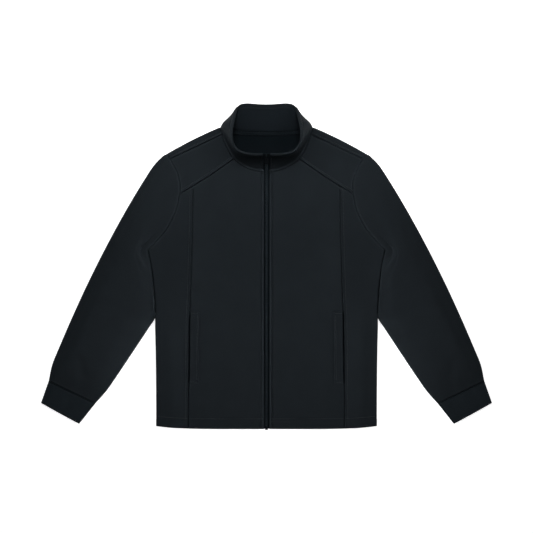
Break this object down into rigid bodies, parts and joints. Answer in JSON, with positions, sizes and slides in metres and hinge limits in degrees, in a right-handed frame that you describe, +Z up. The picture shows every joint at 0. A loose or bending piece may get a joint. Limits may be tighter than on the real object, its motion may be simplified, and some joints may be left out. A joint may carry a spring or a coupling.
{
  "type": "track jacket",
  "caption": "Zip-up track jacket in dark double knit, laid flat on its back with a standing collar, welt pockets, plain cuffs and a hinged zip pull.",
  "frame": {"origin": "middle of the outline's box, on the surface that the jacket lies on", "axes": "+X towards the wearer's left, across the spread sleeves; +Y from the hem to the collar; +Z up, out of the front"},
  "size_m": [1.054, 0.7624, 0.0655],
  "materials": {
    "knit": "matte double knit, polyester",
    "woven": "matte woven tape",
    "zip_metal": "satin black lacquer on a zinc casting"
  },
  "bodies": {
    "jacket": {"back": "knit", "yoke_left": "knit", "yoke_right": "knit", "front_left": "knit", "front_right": "knit", "side_left": "knit", "side_right": "knit", "sleeve_left": "knit", "sleeve_right": "knit", "cuff_left": "knit", "cuff_right": "knit", "collar": "knit", "pocket_welt_left": "knit", "pocket_welt_right": "knit", "neck_tape": "woven", "zip_tape_left": "woven", "zip_tape_right": "woven", "zip_box": "zip_metal", "zip_slider": "zip_metal"},
    "pull": {"zip_pull": "zip_metal"}
  },
  "joints": [
    {"name": "pull_hinge", "type": "hinge", "parent": "jacket", "child": "pull", "pos_m": [0, 0.25435, 0.04714], "axis": [-1, 0, 0], "range_deg": [0, 150]}
  ]
}
